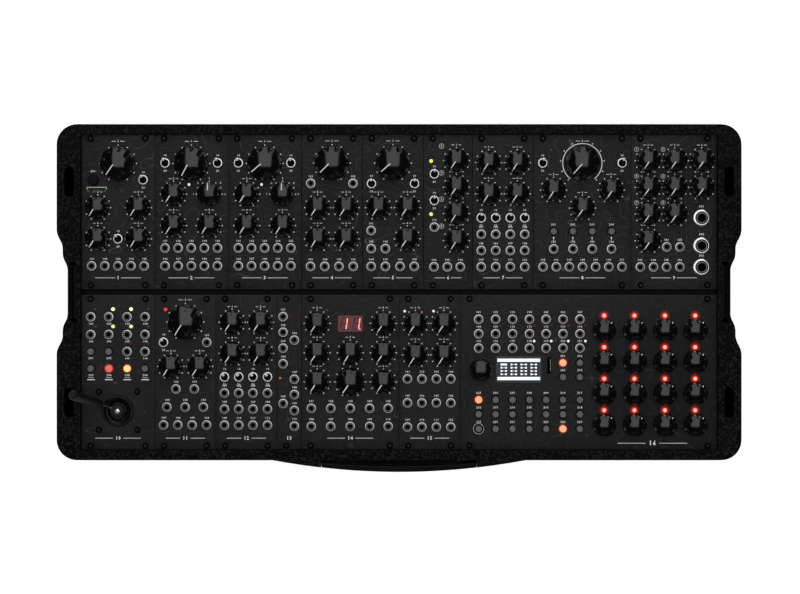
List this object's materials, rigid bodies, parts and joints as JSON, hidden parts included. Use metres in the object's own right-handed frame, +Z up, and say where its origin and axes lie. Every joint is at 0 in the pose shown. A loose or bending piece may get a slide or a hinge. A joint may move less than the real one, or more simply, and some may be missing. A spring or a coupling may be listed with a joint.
{
  "type": "modular synthesizer",
  "caption": "Flat travel case with two rows of synthesizer modules: knobs, jack sockets, switches, buttons, a step sequencer and a joystick, and a swinging carrying handle.",
  "frame": {"origin": "middle of the whole object's box at the level of the feet, on the surface it rests on", "axes": "+Z up out of the panels, +X to the player's right along the rows, +Y towards the rear row; the handle is on the -Y side"},
  "size_m": [0.569, 0.2892, 0.1239],
  "materials": {
    "case": "black moulded ABS with a fine pebble texture",
    "handle": "black moulded plastic, smoother than the case",
    "steel": "nickel-plated steel",
    "rail": "extruded aluminium",
    "board": "glass-fibre circuit board with green solder mask",
    "panel": "aluminium panel with a satin black coat and white print",
    "knob": "glossy black phenolic with a white pointer line",
    "grip": "satin black plastic grip on a steel rod",
    "button": "translucent grey-white plastic button cap"
  },
  "bodies": {
    "root": {"case_shell": "case", "nut_plate_left": "steel", "nut_plate_right": "steel", "rail_rear": "rail", "rail_middle": "rail", "rail_front": "rail", "bus_board": "board", "wavetable_oscillator_module": "panel", "oscillator_one_module": "panel", "oscillator_two_module": "panel", "filter_module": "panel", "low_pass_gate_module": "panel", "envelope_module": "panel", "quad_amplifier_rear_module": "panel", "stereo_delay_module": "panel", "output_module": "panel", "joystick_module": "panel", "modulator_module": "panel", "quad_amplifier_front_module": "panel", "mixer_splitter_module": "panel", "effects_module": "panel", "voltage_tools_module": "panel", "sequencer_module": "panel"},
    "handle_bail": {"handle_bail": "handle"},
    "wavetable_oscillator_large_knob": {"wavetable_oscillator_large_knob": "knob"},
    "oscillator_one_large_knob": {"oscillator_one_large_knob": "knob"},
    "oscillator_two_large_knob": {"oscillator_two_large_knob": "knob"},
    "filter_large_knob": {"filter_large_knob": "knob"},
    "low_pass_gate_large_knob": {"low_pass_gate_large_knob": "knob"},
    "stereo_delay_large_knob": {"stereo_delay_large_knob": "knob"},
    "stereo_delay_small_knob_1": {"stereo_delay_small_knob_1": "knob"},
    "stereo_delay_small_knob_2": {"stereo_delay_small_knob_2": "knob"},
    "stereo_delay_small_knob_3": {"stereo_delay_small_knob_3": "knob"},
    "stereo_delay_toggle_1": {"stereo_delay_toggle_1": "steel"},
    "stereo_delay_toggle_2": {"stereo_delay_toggle_2": "steel"},
    "stereo_delay_button_1": {"stereo_delay_button_1": "button"},
    "stereo_delay_button_2": {"stereo_delay_button_2": "button"},
    "stereo_delay_button_3": {"stereo_delay_button_3": "button"},
    "stereo_delay_button_4": {"stereo_delay_button_4": "button"},
    "joystick_gimbal": {"joystick_gimbal": "steel"},
    "joystick_lever": {"joystick_lever": "grip"},
    "modulator_large_knob": {"modulator_large_knob": "knob"},
    "effects_medium_knob": {"effects_medium_knob": "knob"},
    "sequencer_data_knob": {"sequencer_data_knob": "knob"},
    "sequencer_step_knob_1": {"sequencer_step_knob_1": "knob"},
    "sequencer_step_knob_2": {"sequencer_step_knob_2": "knob"},
    "sequencer_step_knob_3": {"sequencer_step_knob_3": "knob"},
    "sequencer_step_knob_4": {"sequencer_step_knob_4": "knob"},
    "sequencer_step_knob_5": {"sequencer_step_knob_5": "knob"},
    "sequencer_step_knob_6": {"sequencer_step_knob_6": "knob"},
    "sequencer_step_knob_7": {"sequencer_step_knob_7": "knob"},
    "sequencer_step_knob_8": {"sequencer_step_knob_8": "knob"},
    "sequencer_step_knob_9": {"sequencer_step_knob_9": "knob"},
    "sequencer_step_knob_10": {"sequencer_step_knob_10": "knob"},
    "sequencer_step_knob_11": {"sequencer_step_knob_11": "knob"},
    "sequencer_step_knob_12": {"sequencer_step_knob_12": "knob"},
    "sequencer_step_knob_13": {"sequencer_step_knob_13": "knob"},
    "sequencer_step_knob_14": {"sequencer_step_knob_14": "knob"},
    "sequencer_step_knob_15": {"sequencer_step_knob_15": "knob"},
    "sequencer_step_knob_16": {"sequencer_step_knob_16": "knob"}
  },
  "joints": [
    {"name": "handle_bail_turn", "type": "hinge", "parent": "root", "child": "handle_bail", "pos_m": [0, -0.13849, 0.0739], "axis": [-1, 0, 0], "range_deg": [0, 90]},
    {"name": "wavetable_oscillator_large_knob_turn", "type": "hinge", "parent": "root", "child": "wavetable_oscillator_large_knob", "pos_m": [-0.23368, 0.11195, 0.0758], "axis": [0, 0, 1], "range_deg": [-293, 7]},
    {"name": "oscillator_one_large_knob_turn", "type": "hinge", "parent": "root", "child": "oscillator_one_large_knob", "pos_m": [-0.17272, 0.11195, 0.0758], "axis": [0, 0, 1], "range_deg": [-297, 3]},
    {"name": "oscillator_two_large_knob_turn", "type": "hinge", "parent": "root", "child": "oscillator_two_large_knob", "pos_m": [-0.11176, 0.11195, 0.0758], "axis": [0, 0, 1], "range_deg": [-282, 18]},
    {"name": "filter_large_knob_turn", "type": "hinge", "parent": "root", "child": "filter_large_knob", "pos_m": [-0.05588, 0.11233, 0.0758], "axis": [0, 0, 1], "range_deg": [-280, 20]},
    {"name": "low_pass_gate_large_knob_turn", "type": "hinge", "parent": "root", "child": "low_pass_gate_large_knob", "pos_m": [-0.00508, 0.11233, 0.0758], "axis": [0, 0, 1], "range_deg": [-275, 25]},
    {"name": "stereo_delay_large_knob_turn", "type": "hinge", "parent": "root", "child": "stereo_delay_large_knob", "pos_m": [0.1524, 0.1122, 0.0758], "axis": [0, 0, 1], "range_deg": [-288, 12]},
    {"name": "stereo_delay_small_knob_1_turn", "type": "hinge", "parent": "root", "child": "stereo_delay_small_knob_1", "pos_m": [0.12846, 0.08984, 0.0758], "axis": [0, 0, 1], "range_deg": [-295, 5]},
    {"name": "stereo_delay_small_knob_2_turn", "type": "hinge", "parent": "root", "child": "stereo_delay_small_knob_2", "pos_m": [0.17634, 0.08984, 0.0758], "axis": [0, 0, 1], "range_deg": [-295, 5]},
    {"name": "stereo_delay_small_knob_3_turn", "type": "hinge", "parent": "root", "child": "stereo_delay_small_knob_3", "pos_m": [0.1524, 0.07481, 0.0758], "axis": [0, 0, 1], "range_deg": [-295, 5]},
    {"name": "stereo_delay_toggle_1_turn", "type": "hinge", "parent": "root", "child": "stereo_delay_toggle_1", "pos_m": [0.1194, 0.1122, 0.0772], "axis": [1, 0, 0], "range_deg": [0, 24]},
    {"name": "stereo_delay_toggle_2_turn", "type": "hinge", "parent": "root", "child": "stereo_delay_toggle_2", "pos_m": [0.1854, 0.1122, 0.0772], "axis": [1, 0, 0], "range_deg": [0, 24]},
    {"name": "stereo_delay_button_1_press", "type": "slide", "parent": "root", "child": "stereo_delay_button_1", "axis": [0, 0, -1], "range_m": [0, 0.0015], "stiffness_N_per_m": 800, "springref_m": -0.0005},
    {"name": "stereo_delay_button_2_press", "type": "slide", "parent": "root", "child": "stereo_delay_button_2", "axis": [0, 0, -1], "range_m": [0, 0.0015], "stiffness_N_per_m": 800, "springref_m": -0.0005},
    {"name": "stereo_delay_button_3_press", "type": "slide", "parent": "root", "child": "stereo_delay_button_3", "axis": [0, 0, -1], "range_m": [0, 0.0015], "stiffness_N_per_m": 800, "springref_m": -0.0005},
    {"name": "stereo_delay_button_4_press", "type": "slide", "parent": "root", "child": "stereo_delay_button_4", "axis": [0, 0, -1], "range_m": [0, 0.0015], "stiffness_N_per_m": 800, "springref_m": -0.0005},
    {"name": "joystick_gimbal_turn", "type": "hinge", "parent": "root", "child": "joystick_gimbal", "pos_m": [-0.23368, -0.09375, 0.0695], "axis": [1, 0, 0], "range_deg": [-13.2, 46.8]},
    {"name": "joystick_lever_turn", "type": "hinge", "parent": "joystick_gimbal", "child": "joystick_lever", "pos_m": [-0.23368, -0.09375, 0.0695], "axis": [0, 0.9573, -0.289], "range_deg": [-1.6, 58.4]},
    {"name": "modulator_large_knob_turn", "type": "hinge", "parent": "root", "child": "modulator_large_knob", "pos_m": [-0.1778, -0.01986, 0.0758], "axis": [0, 0, 1], "range_deg": [-292, 8]},
    {"name": "effects_medium_knob_turn", "type": "hinge", "parent": "root", "child": "effects_medium_knob", "pos_m": [-0.04064, -0.06972, 0.0758], "axis": [0, 0, 1], "range_deg": [-296, 4]},
    {"name": "sequencer_data_knob_turn", "type": "hinge", "parent": "root", "child": "sequencer_data_knob", "pos_m": [0.06804, -0.05983, 0.0758], "axis": [0, 0, 1], "continuous": true},
    {"name": "sequencer_step_knob_1_turn", "type": "hinge", "parent": "root", "child": "sequencer_step_knob_1", "pos_m": [0.17047, -0.02667, 0.0758], "axis": [0, 0, 1], "continuous": true},
    {"name": "sequencer_step_knob_2_turn", "type": "hinge", "parent": "root", "child": "sequencer_step_knob_2", "pos_m": [0.1956, -0.02667, 0.0758], "axis": [0, 0, 1], "continuous": true},
    {"name": "sequencer_step_knob_3_turn", "type": "hinge", "parent": "root", "child": "sequencer_step_knob_3", "pos_m": [0.22094, -0.02667, 0.0758], "axis": [0, 0, 1], "continuous": true},
    {"name": "sequencer_step_knob_4_turn", "type": "hinge", "parent": "root", "child": "sequencer_step_knob_4", "pos_m": [0.24607, -0.02667, 0.0758], "axis": [0, 0, 1], "continuous": true},
    {"name": "sequencer_step_knob_5_turn", "type": "hinge", "parent": "root", "child": "sequencer_step_knob_5", "pos_m": [0.17047, -0.05289, 0.0758], "axis": [0, 0, 1], "continuous": true},
    {"name": "sequencer_step_knob_6_turn", "type": "hinge", "parent": "root", "child": "sequencer_step_knob_6", "pos_m": [0.1956, -0.05289, 0.0758], "axis": [0, 0, 1], "continuous": true},
    {"name": "sequencer_step_knob_7_turn", "type": "hinge", "parent": "root", "child": "sequencer_step_knob_7", "pos_m": [0.22094, -0.05289, 0.0758], "axis": [0, 0, 1], "continuous": true},
    {"name": "sequencer_step_knob_8_turn", "type": "hinge", "parent": "root", "child": "sequencer_step_knob_8", "pos_m": [0.24607, -0.05289, 0.0758], "axis": [0, 0, 1], "continuous": true},
    {"name": "sequencer_step_knob_9_turn", "type": "hinge", "parent": "root", "child": "sequencer_step_knob_9", "pos_m": [0.17047, -0.0791, 0.0758], "axis": [0, 0, 1], "continuous": true},
    {"name": "sequencer_step_knob_10_turn", "type": "hinge", "parent": "root", "child": "sequencer_step_knob_10", "pos_m": [0.1956, -0.0791, 0.0758], "axis": [0, 0, 1], "continuous": true},
    {"name": "sequencer_step_knob_11_turn", "type": "hinge", "parent": "root", "child": "sequencer_step_knob_11", "pos_m": [0.22094, -0.0791, 0.0758], "axis": [0, 0, 1], "continuous": true},
    {"name": "sequencer_step_knob_12_turn", "type": "hinge", "parent": "root", "child": "sequencer_step_knob_12", "pos_m": [0.24607, -0.0791, 0.0758], "axis": [0, 0, 1], "continuous": true},
    {"name": "sequencer_step_knob_13_turn", "type": "hinge", "parent": "root", "child": "sequencer_step_knob_13", "pos_m": [0.17047, -0.10532, 0.0758], "axis": [0, 0, 1], "continuous": true},
    {"name": "sequencer_step_knob_14_turn", "type": "hinge", "parent": "root", "child": "sequencer_step_knob_14", "pos_m": [0.1956, -0.10532, 0.0758], "axis": [0, 0, 1], "continuous": true},
    {"name": "sequencer_step_knob_15_turn", "type": "hinge", "parent": "root", "child": "sequencer_step_knob_15", "pos_m": [0.22094, -0.10532, 0.0758], "axis": [0, 0, 1], "continuous": true},
    {"name": "sequencer_step_knob_16_turn", "type": "hinge", "parent": "root", "child": "sequencer_step_knob_16", "pos_m": [0.24607, -0.10532, 0.0758], "axis": [0, 0, 1], "continuous": true}
  ]
}
